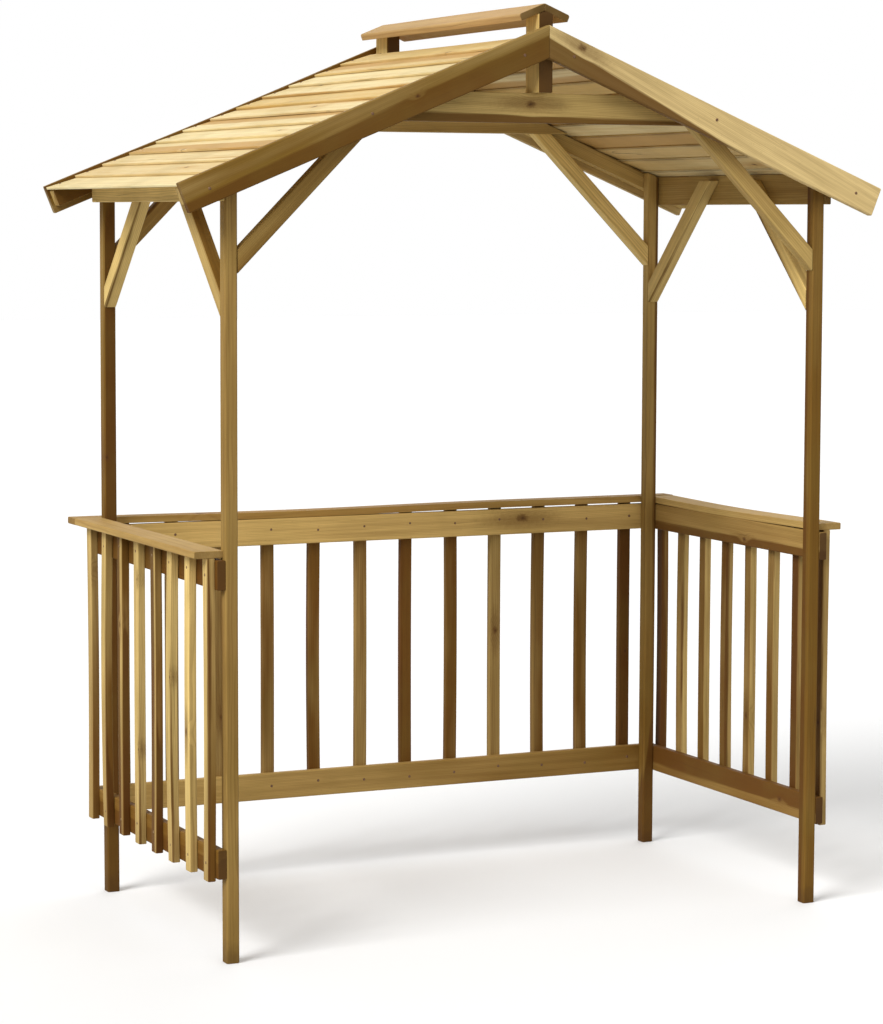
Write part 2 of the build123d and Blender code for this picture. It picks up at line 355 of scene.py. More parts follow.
class TimberEffects:
    """The node groups that all the timber finishes share."""

    def __init__(self) -> None:
        """Builds the groups."""
        self.knots = self.make_knots()
        self.rings = self.make_rings()
        self.fibre = self.make_fibre()
        self.weather = self.make_weather()

    @staticmethod
    def radii(g: Graph, face: Socket, centre: Socket, radius: Socket) -> Socket:
        """Distance on the board's face from a knot's centre, over the knot's radius."""
        return g.math("DIVIDE", g.vector("DISTANCE", centre, face).outputs["Value"], radius)

    @classmethod
    def make_knots(cls) -> NodeTree:
        """Branch knots: one marked on the board, and others by chance in the cells of a Voronoi pattern.

        The distance to a knot's centre is measured in metres along and across the board, over the knot's
        radius, so knots are nearly round whatever the cells' shape. A noise frays the distance, and the halo
        is measured on a face that is shortened more along the grain, so that it runs out along the fibres.
        Each mask falls from one to zero over its own span of radii.

        Returns:
            A group that turns grain coordinates into a knot, its dark eye, its halo and the swirl around it.
        """
        values = {"Share": 0.5, "Size": 0.006}
        made = Effect("branch_knots", ("Vector", "Mark"), values, ("Knot", "Eye", "Halo", "Swirl"))
        g, vector, mark = made.graph, made.source["Vector"], made.source["Mark"]
        cells_along, cells_across = 2.6, 12.0
        round_face, long_face = (0.6, 1.0, 0.0), (0.2, 1.0, 0.0)
        knot_span, eye_span, halo_span, swirl_span = (0.55, 1.35), (0.0, 0.6), (0.6, 3.2), (0.6, 4.5)
        least_size, size_spread, least_radius = 0.35, 0.9, 0.00001
        fray_width, most_swirl, out_of_reach = 1.5, 0.009, 100.0
        fray = g.swing(g.noise(vector, 130.0, 3.0, 0.65), fray_width)
        flat = g.stretch(vector, (cells_along, cells_across, 0.0))
        cells = {"voronoi_dimensions": "2D", "feature": "F1"}
        cell = g.node("ShaderNodeTexVoronoi", cells, Vector=flat, Scale=1.0).outputs
        luck = g.node("ShaderNodeSeparateColor", Color=cell["Color"]).outputs
        growth = g.math("MULTIPLY_ADD", luck[1], size_spread, least_size)
        size = g.math("MULTIPLY", made.source["Size"], growth)
        absent = g.math("MULTIPLY", g.math("GREATER_THAN", luck[0], made.source["Share"]), out_of_reach)
        centre = g.stretch(cell["Position"], (1.0 / cells_along, 1.0 / cells_across, 0.0))
        radius = g.math("MAXIMUM", g.node("ShaderNodeSeparateXYZ", Vector=mark).outputs[2], least_radius)
        away = []
        for shape in (round_face, long_face):
            face = g.stretch(vector, shape)
            scattered = g.math("ADD", cls.radii(g, face, g.stretch(centre, shape), size), absent)
            marked = cls.radii(g, face, g.stretch(mark, shape), radius)
            away.append(g.math("MINIMUM", scattered, marked))
        near, far = away
        frayed = g.math("ADD", near, fray)
        return made.give(
            Knot=g.fall(frayed, *knot_span),
            Eye=g.fall(frayed, *eye_span),
            Halo=g.fall(g.math("ADD", far, fray), *halo_span),
            Swirl=g.math("MULTIPLY", g.fall(near, *swirl_span), most_swirl),
        )

    @staticmethod
    def make_rings() -> NodeTree:
        """Growth rings: the distance to the log's centre, wavering along the board, over the rings' spacing.

        The latewood darkens over most of a ring and stops short at its end.

        Returns:
            A group with the latewood mask and the distance to the centre.
        """
        made = Effect("growth_rings", ("Vector",), {"Spacing": 0.0045, "Swirl": 0.0}, ("Late", "Radius"))
        g, vector = made.graph, made.source["Vector"]
        sway_width, quiver_width = 0.022, 0.005
        darkens, stops = (0.35, 0.88), (0.9, 1.0)
        sway = g.swing(g.drawn(vector, (0.9, 5.0, 5.0), 1.0), sway_width)
        quiver = g.swing(g.drawn(vector, (6.0, 50.0, 50.0), 2.0), quiver_width)
        distance = g.vector("LENGTH", g.stretch(vector, (0.0, 1.0, 1.0))).outputs["Value"]
        wavering = g.math("ADD", distance, g.math("ADD", sway, quiver))
        radius = g.math("ADD", wavering, made.source["Swirl"])
        turn = g.math("FRACT", g.math("DIVIDE", radius, made.source["Spacing"]))
        late = g.math("MULTIPLY", g.step(turn, *darkens), g.fall(turn, *stops))
        return made.give(Late=late, Radius=radius)

    @staticmethod
    def make_fibre() -> NodeTree:
        """Slow clouds, long streaks, short fibres and thin drying cracks: noise drawn out along the board.

        A crack runs where a noise passes its mean, in the few stretches that a slower noise lets through.

        Returns:
            A group with the clouds, the broad streaks, the fine fibres, the cracks and a height for bump.
        """
        made = Effect("fibre", ("Vector",), {}, ("Cloud", "Streak", "Fine", "Crack", "Height"))
        g, vector = made.graph, made.source["Vector"]
        crack_half, crack_share, streak_span = (0.003, 0.011), (0.62, 0.72), (0.34, 0.68)
        streak_relief, fine_relief = 0.4, 0.6
        cloud = g.drawn(vector, (2.4, 20.0, 20.0), 2.0)
        streak = g.drawn(vector, (2.2, 105.0, 105.0), 4.0, 0.65)
        fine = g.drawn(vector, (14.0, 620.0, 620.0), 3.0, 0.55)
        split = g.math("ABSOLUTE", g.math("SUBTRACT", g.drawn(vector, (1.3, 42.0, 42.0), 1.0), 0.5))
        stretches = g.step(g.drawn(vector, (2.2, 16.0, 16.0), 1.0), *crack_share)
        crack = g.math("MULTIPLY", g.fall(split, *crack_half), stretches)
        height = g.math("MULTIPLY_ADD", streak, streak_relief, g.math("MULTIPLY", fine, fine_relief))
        height = g.math("SUBTRACT", height, crack)
        streak = g.step(streak, *streak_span)
        return made.give(Cloud=cloud, Streak=streak, Fine=fine, Crack=crack, Height=height)

    @staticmethod
    def make_weather() -> NodeTree:
        """Uneven preservative: soft blotches over the whole structure, small dark specks and damp post feet.

        Returns:
            A group with the masks of the blotches, the specks and the feet.
        """
        made = Effect("weather", ("Vector",), {}, ("Blotch", "Speck", "Foot"))
        g, vector = made.graph, made.source["Vector"]
        blotch_span, speck_span, foot_height = (0.38, 0.68), (0.73, 0.8), 0.05
        wave_height, wave_base = 0.06, -0.02
        blotch = g.step(g.noise(vector, 5.5, 3.0, 0.55), *blotch_span)
        speck = g.step(g.noise(vector, 210.0, 1.0), *speck_span)
        level = g.node("ShaderNodeSeparateXYZ", Vector=vector).outputs[2]
        edge = g.math("MULTIPLY_ADD", g.noise(vector, 45.0), wave_height, wave_base)
        foot = g.fall(g.math("SUBTRACT", level, edge), 0.0, foot_height)
        return made.give(Blotch=blotch, Speck=speck, Foot=foot)


@dataclass(frozen=True)
class TimberFinish:
    """Colours and figure of one stock of planed, treated softwood, with the depth of each coat of colour."""

    slot: str
    pale: Colour
    deep: Colour
    heart: Colour
    stain: Colour = (122, 104, 46)
    soil_and_shade: Colour = (74, 50, 24)
    knot: Colour = (92, 58, 26)
    eye: Colour = (50, 30, 14)
    crack: Colour = (62, 40, 20)
    cloud_width: float = 0.8
    flush_from: float = 0.55
    flush_depth: float = 0.3
    heart_edge: Pair = (-0.001, 0.006)
    heart_ragged: float = 0.004
    heart_depth: float = 0.92
    streak_depth: float = 0.27
    ring_depth: float = 0.252
    stain_depth: float = 0.16
    fine_width: float = 0.6
    fine_depth: float = 0.5
    halo_depth: float = 0.5
    knot_depth: float = 0.68
    eye_depth: float = 0.62
    speck_depth: float = 0.22
    foot_depth: float = 0.45
    crack_depth: float = 0.4
    soil_spread: float = 0.4
    ring_spacing: float = 0.0038
    ring_relief: float = 0.3
    knot_share: float = 0.1
    knot_size: float = 0.0055
    roughness: Pair = (0.6, 0.16)
    gloss: float = 0.1
    bump_strength: float = 0.35
    bump_height: float = 0.0007

    def material(self, effects: TimberEffects) -> Material:
        """Builds the finish: sapwood and heartwood split by the log's radius, rings, streaks and knots.

        Args:
            effects: the shared node groups.

        Returns:
            The material, which reads each board's own grain, pick, mark and soil_and_shade attributes. The
            pick carries painted shade in its tone, and soil_and_shade darkens the wood with soil and painted
            shade.
        """
        made = bpy.data.materials.new(self.slot)
        g = Graph.blank(made)
        grain, mark, soil_and_shade = g.attribute("grain"), g.attribute("mark"), g.attribute("soil_and_shade", "Fac")
        tone, core, chance = g.node("ShaderNodeSeparateColor", Color=g.attribute("pick", "Color")).outputs
        place = g.node("ShaderNodeTexCoord").outputs["Object"]
        knots = g.group(effects.knots, Vector=grain, Mark=mark, Share=self.knot_share, Size=self.knot_size)
        rings = g.group(effects.rings, Vector=grain, Spacing=self.ring_spacing, Swirl=knots["Swirl"])
        fibre = g.group(effects.fibre, Vector=grain)
        weather = g.group(effects.weather, Vector=place)
        inside = g.math("SUBTRACT", g.math("MULTIPLY", core, HEART_REACH), rings["Radius"])
        ragged = g.math("MULTIPLY_ADD", fibre["Streak"], self.heart_ragged, inside)
        clouded = g.math("ADD", tone, g.swing(fibre["Cloud"], self.cloud_width))
        wood = g.coats(
            g.mix(clouded, linear(self.pale), linear(self.deep)),
            (g.step(chance, self.flush_from, 1.0), self.flush_depth, self.heart),
            (g.step(ragged, *self.heart_edge), self.heart_depth, self.heart),
            (fibre["Streak"], self.streak_depth, self.heart),
            (rings["Late"], self.ring_depth, self.heart),
            (weather["Blotch"], self.stain_depth, self.stain),
        )
        fine = g.math("MULTIPLY_ADD", fibre["Fine"], self.fine_width, 1.0 - self.fine_width / 2.0)
        wood = g.coats(
            g.mix(self.fine_depth, wood, fine, "MULTIPLY"),
            (knots["Halo"], self.halo_depth, self.heart),
            (knots["Knot"], self.knot_depth, self.knot),
            (knots["Eye"], self.eye_depth, self.eye),
            (weather["Speck"], self.speck_depth, self.soil_and_shade),
            (weather["Foot"], self.foot_depth, self.soil_and_shade),
            (fibre["Crack"], self.crack_depth, self.crack),
        )
        uneven = g.math("MULTIPLY_ADD", weather["Blotch"], self.soil_spread, 1.0 - self.soil_spread)
        # Soil and painted shade: soil on the sawn ends, soil with a painted shadow line low on roof butts,
        # painted shade at the laps and past the heartwood.
        wood = g.mix(g.math("MULTIPLY", soil_and_shade, uneven), wood, linear(self.soil_and_shade))
        least, spread = self.roughness
        rough = g.math("MULTIPLY_ADD", fibre["Fine"], spread, least)
        height = g.math("MULTIPLY_ADD", rings["Late"], self.ring_relief, fibre["Height"])
        bump = g.node("ShaderNodeBump", Strength=self.bump_strength, Distance=self.bump_height, Height=height)
        shader = g.node(
            "ShaderNodeBsdfPrincipled", Base_Color=wood, Roughness=rough, Normal=bump.outputs[0],
            Specular_IOR_Level=self.gloss,
        )
        g.node("ShaderNodeOutputMaterial", Surface=shader.outputs[0])
        return made


@dataclass(frozen=True)
class NailFinish:
    """Galvanised nail heads with some rust."""

    name: str
    zinc: Colour
    rust: Colour
    bright: float
    mottles: float = 260.0
    rust_edge: Pair = (0.4, 0.65)
    roughness: Pair = (0.42, 0.3)

    def material(self) -> Material:
        """Builds the finish: zinc mottled with brown, which is rougher and not metallic.

        Returns:
            The material.
        """
        made = bpy.data.materials.new(self.name)
        g = Graph.blank(made)
        place = g.node("ShaderNodeTexCoord").outputs["Object"]
        rust = g.step(g.noise(place, self.mottles, 3.0), *self.rust_edge)
        colour = g.mix(rust, linear(self.zinc), linear(self.rust))
        least, spread = self.roughness
        rough = g.math("MULTIPLY_ADD", rust, spread, least)
        metal = g.math("MULTIPLY_ADD", rust, -self.bright, self.bright)
        shader = g.node("ShaderNodeBsdfPrincipled", Base_Color=colour, Roughness=rough, Metallic=metal)
        g.node("ShaderNodeOutputMaterial", Surface=shader.outputs[0])
        return made


@dataclass(frozen=True)
class Pick:
    """The piece of log that one board was sawn from, and how it was nailed up.

    The tone goes from pale to deep sapwood, and fade is added to it from the board's start to its end. The
    heartwood's radius, the place of the log's centre and its drift over the length are in board widths from
    the middle of the section. Shade is painted shade: faces that look along it are deeper by its length, and
    others by less, down to nothing at 60 degrees. A depth past the deepest sapwood takes the heartwood
    colour, and past that the soil colour, so that deep painted shade turns to heartwood and then to soil.
    Soil and painted shade darken the lower part of the narrow edges (soil with a painted shadow line beneath
    a roof board's butt), the sawn ends, and the underside along its upper edge (painted shade at the lap).
    The board is bowed by chance, with so many metres as the spread. It may sag, by so many metres over so
    large a share of its length, and lie askew, by so many metres from end to end. One knot stands at a share
    of the length and of the width, with a radius in metres.
    """

    tone: float = 0.5
    heart: float = 0.0
    pith: Pair = (0.0, -0.6)
    drift: Pair = (0.0, 0.0)
    fade: float = 0.0
    # Painted shade on the faces that look this way.
    shade: Triple = (0.0, 0.0, 0.0)
    edge: float = 0.0
    lap: float = 0.0
    end: float = 0.45
    bow: float = 0.00045
    sag: Pair = (0.0, 1.0)
    skew: float = 0.0
    knot: Triple = (0.5, 0.0, 0.0)


@dataclass
class Shape:
    """Vertices, faces and point attributes of a mesh in the making."""

    points: Array
    corners: Array
    sizes: Array
    grain: Array
    pick: Array
    mark: Array
    soil_and_shade: Array

    @staticmethod
    def joined(shapes: list[Shape]) -> Shape:
        """Puts several shapes into one.

        Args:
            shapes: the shapes, in order.

        Returns:
            One shape with the faces counted on from shape to shape.
        """
        starts = np.cumsum([0] + [len(s.points) for s in shapes])
        corners = np.concatenate([s.corners + start for s, start in zip(shapes, starts)])
        names = ("points", "sizes", "grain", "pick", "mark", "soil_and_shade")
        stack = {name: np.concatenate([getattr(s, name) for s in shapes]) for name in names}
        return Shape(corners=corners, **stack)

    def piece(self, name: str, material: Material) -> Object:
        """Makes the object, smooth but for its sawn ends, with its attributes.

        Args:
            name: name of the piece.
            material: its finish.

        Returns:
            The object, at the origin.
        """
        made = stand(name, self.points, (self.corners, self.sizes), material)
        layers = {
            "grain": ("FLOAT_VECTOR", "vector", self.grain),
            "pick": ("FLOAT_COLOR", "color", self.pick),
            "mark": ("FLOAT_VECTOR", "vector", self.mark),
            "soil_and_shade": ("FLOAT", "value", self.soil_and_shade),
        }
        for label, (kind, key, values) in layers.items():
            layer = made.data.attributes.new(label, kind, "POINT")
            layer.data.foreach_set(key, values.astype(np.float32).ravel())
        made.modifiers.new("even_faces", "WEIGHTED_NORMAL").keep_sharp = True
        return made


@dataclass
class Sawmill:
    """Recuts the solids of the frame as finer timbers with eased corners, a slight bow and grain coordinates.

    Soil with a painted shadow line low on the narrow edges, and painted shade along the laps, cover a share
    of the section. A face is an end where it turns more than end_turn to the grain, narrow where it turns
    more than edge_turn to the side, and under where it looks down past under_turn.
    """

    ease: float = 0.0011
    face_cuts: tuple[float, ...] = (0.12, 0.35, 0.65, 0.88)
    stations: int = 22
    fan: int = 1440
    shortest_side: float = 0.0004
    weld_digits: int = 6
    full_bow: float = 0.7
    log_length: float = 40.0
    edge_reach: float = 5.0 / 14.0
    lap_reach: float = 0.14
    end_turn: float = 0.2
    edge_turn: float = 0.95
    under_turn: float = -0.2

    def solids(self, node: Object) -> list[Solid]:
        """Splits a node's loose triangles into its solids by joining equal corners.

        Each corner takes the lowest label among its triangles until no label changes.

        Args:
            node: object of the frame.

        Returns:
            Points and triangles of each solid.
        """
        mesh = node.data
        points = np.empty(len(mesh.vertices) * 3)
        mesh.vertices.foreach_get("co", points)
        corners = np.empty(len(mesh.loops), np.int64)
        mesh.loops.foreach_get("vertex_index", corners)
        welded = np.round(points.reshape(-1, 3), self.weld_digits)
        merged, index = np.unique(welded, axis=0, return_inverse=True)
        triangles = index.reshape(-1)[corners].reshape(-1, 3)
        label = np.arange(len(merged))
        settled = False
        while not settled:
            low = np.repeat(label[triangles].min(axis=1), 3)
            fresh = label.copy()
            np.minimum.at(fresh, triangles.ravel(), low)
            settled = bool((fresh == label).all())
            label = fresh
        return [(merged, triangles[label[triangles[:, 0]] == mark]) for mark in np.unique(label)]

    @staticmethod
    def axes(used: Array, run: Array) -> Array:
        """Directions of a board's width, its widest spread across the grain, and of its depth, square to it.

        Args:
            used: the solid's corners.
            run: direction of the grain.

        Returns:
            Three rows of two, the width's and the depth's direction as columns.
        """
        spread = used - used.mean(axis=0)
        spread = spread - np.outer(spread @ run, run)
        wide = np.linalg.eigh(spread.T @ spread)[1][:, -1]
        wide = wide * sign(wide[np.abs(wide).argmax()])
        return np.stack([wide, np.cross(run, wide)], axis=1)

    def section(self, points: Array) -> tuple[Array, Array]:
        """Outline of a solid seen along its grain, with each corner turned by a small arc.

        The outermost points in a fan of directions give the corners. Each corner moves in by the ease and
        carries an arc of three points, and each side between two arcs gets a few points.

        Args:
            points: the solid's corners on the plane square to its grain.

        Returns:
            The outline's points, in order, and the way each one faces.
        """
        fan = np.linspace(0.0, 2.0 * np.pi, self.fan, endpoint=False)
        order = (points @ np.stack([np.cos(fan), np.sin(fan)])).argmax(axis=0)
        corners = points[order[order != np.roll(order, 1)]]
        gaps = np.linalg.norm(corners - np.roll(corners, 1, axis=0), axis=1)
        corners = corners[gaps > self.shortest_side]
        side = np.roll(corners, -1, axis=0) - corners
        after = unit(np.stack([side[:, 1], -side[:, 0]], axis=1))
        before = np.roll(after, 1, axis=0)
        inset = corners - self.ease * (before + after) / (1.0 + (before * after).sum(axis=1))[:, None]
        middle = unit(before + after)
        arc = inset[:, None, :] + self.ease * np.stack([before, middle, after], axis=1)
        share = np.asarray(self.face_cuts)
        start, stop = arc[:, -1], np.roll(arc, -1, axis=0)[:, 0]
        flat = start[:, None, :] + share[None, :, None] * (stop - start)[:, None, :]
        facing = np.stack([before, middle, after] + [after] * len(self.face_cuts), axis=1)
        return np.concatenate([arc, flat], axis=1).reshape(-1, 2), facing.reshape(-1, 2)

    def ends(self, lines: Array, corners: Array, run: Array) -> tuple[Array, Array]:
        """Where lines along the grain are in a solid: past its last entry plane, before its first exit.

        Args:
            lines: a point on each line.
            corners: the three corners of each of the solid's triangles.
            run: direction of the grain.

        Returns:
            Distances along the grain, for entry and for exit.
        """
        a, b, c = corners[:, 0], corners[:, 1], corners[:, 2]
        normal = unit(np.cross(b - a, c - a))
        facing, offset = normal @ run, (normal * a).sum(axis=1)
        first, last = facing < -self.end_turn, facing > self.end_turn
        enter = ((offset[first] - lines @ normal[first].T) / facing[first]).max(axis=1)
        leave = ((offset[last] - lines @ normal[last].T) / facing[last]).min(axis=1)
        return enter, leave

    def painted_shade_and_soil(self, pick: Pick, outline: Array, facing: Array, basis: Array) -> Array:
        """Soil and painted shade round a section: soil with a painted shadow line low on its narrow edges,
        and painted shade below along its upper edge, at the lap.

        Args:
            pick: how much soil there is.
            outline: points of the section.
            facing: the way each point faces.
            basis: directions of width and depth.

        Returns:
            The soil at each point of the section.
        """
        depth, climb = outline[:, 1] * sign(basis[2, 1]), outline[:, 0] * sign(basis[2, 0])
        narrow = np.abs(facing[:, 0]) > self.edge_turn
        under = facing @ basis[2] < self.under_turn
        edge = pick.edge * narrow * near_top(-depth, self.edge_reach)
        return np.maximum(edge, pick.lap * under * near_top(climb, self.lap_reach))

    def recut(self, solid: Solid, grain: Grain, pick: Pick, rng: np.random.Generator) -> Shape:
        """Carries a solid's outline along its grain between the solid's own end cuts.

        The outline is drawn in at both ends, a half sine bows the length, and a squared sine sags it.

        Args:
            solid: points of the frame's node and the solid's triangles.
            grain: direction of the fibres.
            pick: the log that the board comes from.
            rng: source of the board's own chances.

        Returns:
            The timber's shape.
        """
        points, triangles = solid
        used, run = points[np.unique(triangles)], np.asarray(grain.value)
        basis = self.axes(used, run)
        outline, facing = self.section(used @ basis)
        middle = (outline.max(axis=0) + outline.min(axis=0)) / 2.0
        half = (outline.max(axis=0) - outline.min(axis=0)) / 2.0
        drawn = middle + (outline - middle) * (1.0 - self.ease / half)
        enter, leave = self.ends(outline @ basis.T, points[triangles], run)
        near, far = self.ends(drawn @ basis.T, points[triangles], run)
        share = np.linspace(0.0, 1.0, self.stations)[:, None]
        along = (enter + self.ease) * (1.0 - share) + (leave - self.ease) * share
        along = np.concatenate([near[None], along, far[None]])
        flat = np.concatenate([drawn[None], np.repeat(outline[None], self.stations, axis=0), drawn[None]])
        start, length = enter.min(), float(leave.max() - enter.min())
        travel = np.clip((along - start) / length, 0.0, 1.0)
        swell = np.sin(np.pi * travel)[..., None]
        bow = swell * rng.normal(0.0, pick.bow, 2) * min(1.0, length / self.full_bow)
        slide = (travel - 0.5) * pick.skew
        place = (flat + bow) @ basis.T + along[..., None] * run + slide[..., None] * basis[:, 0]
        place[..., 2] -= pick.sag[0] * np.sin(np.pi * np.clip(travel / pick.sag[1], 0.0, 1.0)) ** 2
        corners, sizes = tube_faces(np.arange(along.size).reshape(along.shape))
        width = 2.0 * half.max()
        shift = rng.uniform(0.0, self.log_length)
        pith = (np.asarray(pick.pith) + travel[..., None] * np.asarray(pick.drift)) * width + middle
        coords = np.concatenate([along[..., None] + shift, flat - pith], axis=-1)
        centre = pick.pith[0] + pick.knot[0] * pick.drift[0]
        knot = (start + pick.knot[0] * length + shift, (pick.knot[1] - centre) * width, pick.knot[2])
        # Painted shade: faces that look along the pick's shade are deeper in tone, down to nothing at 60
        # degrees.
        shade = np.asarray(pick.shade)
        painted_face_shade = np.clip(2.0 * (facing @ basis.T @ shade) - np.linalg.norm(shade), 0.0, None)
        depth = pick.tone + pick.fade * travel + painted_face_shade
        heart = pick.heart * width / HEART_REACH + np.clip(depth - 1.0, 0.0, None)
        tint = np.stack([depth, heart, np.full_like(depth, rng.uniform()), np.ones_like(depth)], axis=-1)
        soil_and_shade = np.tile(self.painted_shade_and_soil(pick, outline, facing, basis), (len(along), 1))
        soil_and_shade[[0, -1]] = np.maximum(soil_and_shade[[0, -1]], pick.end)
        # Painted shade deeper than the heartwood turns to the soil colour.
        soil_and_shade = np.maximum(soil_and_shade, np.clip(depth - 2.0, 0.0, 1.0))
        return Shape(
            place.reshape(-1, 3), corners, sizes, coords.reshape(-1, 3),
            np.clip(tint, 0.0, 1.0).reshape(-1, 4), np.tile(knot, (along.size, 1)), soil_and_shade.ravel(),
        )


@dataclass
class Workshop:
    """What every sub-assembly needs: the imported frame, the finishes and the saw."""

    nodes: dict[str, Object]
    finishes: dict[str, Material]
    saw: Sawmill = field(default_factory=Sawmill)

    def boards(self, node: str) -> list[Array]:
        """Corners of each of a node's solids."""
        return [points[np.unique(triangles)] for points, triangles in self.saw.solids(self.nodes[node])]

    def replace(self, node: str, grain: Grain, slot: str, *picks: Pick, reading: Reading = Reading.X) -> None:
        """Recuts one node of the frame and stands the timber in its place.

        Args:
            node: name of the node.
            grain: direction of its fibres.
            slot: finish to give it.
            picks: one pick for each solid, counted along the reading, or one for all.
            reading: axis along which the solids are counted.
        """
        rng = chances(node)
        solids = self.saw.solids(self.nodes[node])
        solids.sort(key=lambda item: float(item[0][np.unique(item[1])].mean(axis=0)[reading.value]))
        shapes = [self.saw.recut(solid, grain, picks[i % len(picks)], rng) for i, solid in enumerate(solids)]
        piece = Shape.joined(shapes).piece(f"{node}_timber", self.finishes[slot])
        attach(piece, "root")
        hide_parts(node)
        LOG.info("%s: %d boards, %d points", piece.name, len(shapes), len(piece.data.vertices))


@dataclass
class CornerPosts:
    """Four square posts."""

    slot: str = "post_timber"
    picks: dict[str, Pick] = field(default_factory=lambda: {
        "front_left_post": Pick(0.6, 0.3, (0.5, 0.5)),
        "front_right_post": Pick(0.98, 0.5, (-0.5, 0.4)),
        # Its front face is darkened by painted shade, and the post is darker towards the foot.
        "back_left_post": Pick(1.4, 0.0, (0.2, 0.4), fade=-0.8, shade=(0.0, -0.5, 0.0)),
        "back_right_post": Pick(1.25, 0.3, (0.5, -0.4), fade=-1.3),
    })

    def build(self, shop: Workshop) -> None:
        """Recuts the posts."""
        for node, pick in self.picks.items():
            shop.replace(node, Grain.UP, self.slot, pick)


@dataclass
class GableFrames:
    """Barge boards, rafters, collar ties and king posts of the two gables."""

    barge_slot: str = "barge_timber"
    frame_slot: str = "frame_timber"
    barges: dict[str, Pick] = field(default_factory=lambda: {
        "front_left_barge": Pick(
            0.95, 0.6, (-0.74, 0.1), drift=(0.36, 0.0), fade=-0.12, knot=(0.62, 0.05, 0.004)
        ),
        "front_right_barge": Pick(0.04, 0.6, (-0.44, 0.1), drift=(-1.1, 0.0), knot=(0.1, 0.3, 0.007)),
        # The back left barge's inner face is darkened by painted shade.
        "back_left_barge": Pick(0.35, 0.4, (0.7, 0.3), shade=(0.0, -0.75, 0.0), end=0.8, sag=(0.0025, 1.0)),
        "back_right_barge": Pick(0.36, 0.25, (-0.7, 0.4), drift=(0.3, 0.0)),
    })
    ties: dict[str, Pick] = field(default_factory=lambda: {
        "front_collar": Pick(0.22, 0.58, (-0.66, 0.1), drift=(-0.3, 0.0), knot=(0.48, 0.12, 0.008)),
        "back_collar": Pick(0.42, 0.2, (0.5, 0.3)),
    })
    rafters: dict[str, Pick] = field(default_factory=lambda: {
        # The back left rafter's front face is darkened by painted shade.
        "back_left_rafter": Pick(0.5, shade=(0.0, -1.6, 0.0), end=0.1),
        "back_right_rafter": Pick(0.42, 0.2, (0.6, 0.3)),
        "front_left_rafter": Pick(0.4, 0.3, (-0.6, 0.3)),
        "front_right_rafter": Pick(0.35, 0.1, (0.5, -0.3)),
    })
    # The front faces are partly dark heartwood and partly painted shade under the cap, deepened past
    # heartwood to the soil colour.
    king: Pick = Pick(0.0, 0.0, (-0.9, 0.6), shade=(0.0, -2.9, 0.0))

    def build(self, shop: Workshop) -> None:
        """Recuts the boards of both gables.

        Args:
            shop: the workshop.
        """
        for node, pick in self.barges.items():
            grain = Grain.LEFT_SLOPE if "left" in node else Grain.RIGHT_SLOPE
            rafter = node.replace("barge", "rafter")
            shop.replace(node, grain, self.barge_slot, pick)
            shop.replace(rafter, grain, self.frame_slot, self.rafters[rafter])
        for node, pick in self.ties.items():
            shop.replace(node, Grain.ACROSS, self.frame_slot, pick)
        for node in ("front_king_post", "back_king_post"):
            shop.replace(node, Grain.UP, self.frame_slot, self.king)


